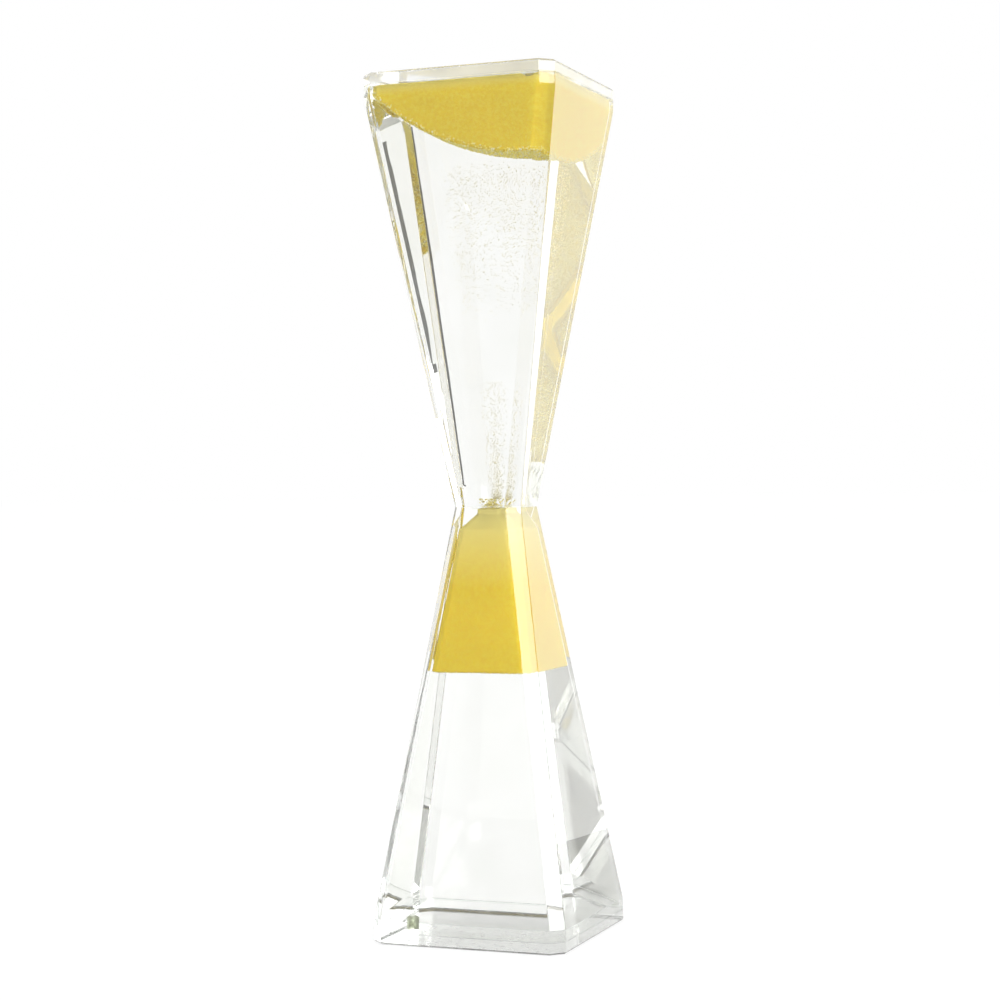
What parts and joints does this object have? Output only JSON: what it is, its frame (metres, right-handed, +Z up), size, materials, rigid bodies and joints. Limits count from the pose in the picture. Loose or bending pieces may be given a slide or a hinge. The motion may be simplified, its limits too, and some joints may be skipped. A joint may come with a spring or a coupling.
{
  "type": "liquid timer",
  "caption": "Sealed square hourglass of clear plastic, full of clear liquid, in which fine yellow granules rise through a narrow neck and gather under the top cap.",
  "frame": {"origin": "centre of the base's lower face", "axes": "+Z up along the timer from base to top, -Y out of the front face, +X to the right"},
  "size_m": [0.0352, 0.0352, 0.15],
  "materials": {
    "clear_plastic": "clear polished acrylic",
    "plug_plastic": "clear plastic with a faint green tint",
    "cured_cement": "clear cured cement",
    "clear_liquid": "clear oil",
    "yellow_granules": "fine yellow plastic granules",
    "trapped_air": "air"
  },
  "bodies": {
    "timer": {"upper_chamber": "clear_plastic", "lower_chamber": "clear_plastic", "top_cap": "clear_plastic", "bottom_cap": "clear_plastic", "flow_plate": "clear_plastic", "fill_plug": "plug_plastic", "top_glue_line": "cured_cement", "bottom_glue_line": "cured_cement", "neck_glue_line": "cured_cement", "upper_liquid": "clear_liquid", "lower_liquid": "clear_liquid", "upper_granules": "yellow_granules", "lower_granules": "yellow_granules", "settling_granules": "yellow_granules", "air_bubble": "trapped_air"},
    "granule_stream": {"rising_granules": "yellow_granules"}
  },
  "joints": [
    {"name": "granule_rise", "type": "slide", "parent": "timer", "child": "granule_stream", "axis": [0, 0, 1], "range_m": [0, 0.038], "deforming": ["upper_liquid"]}
  ]
}
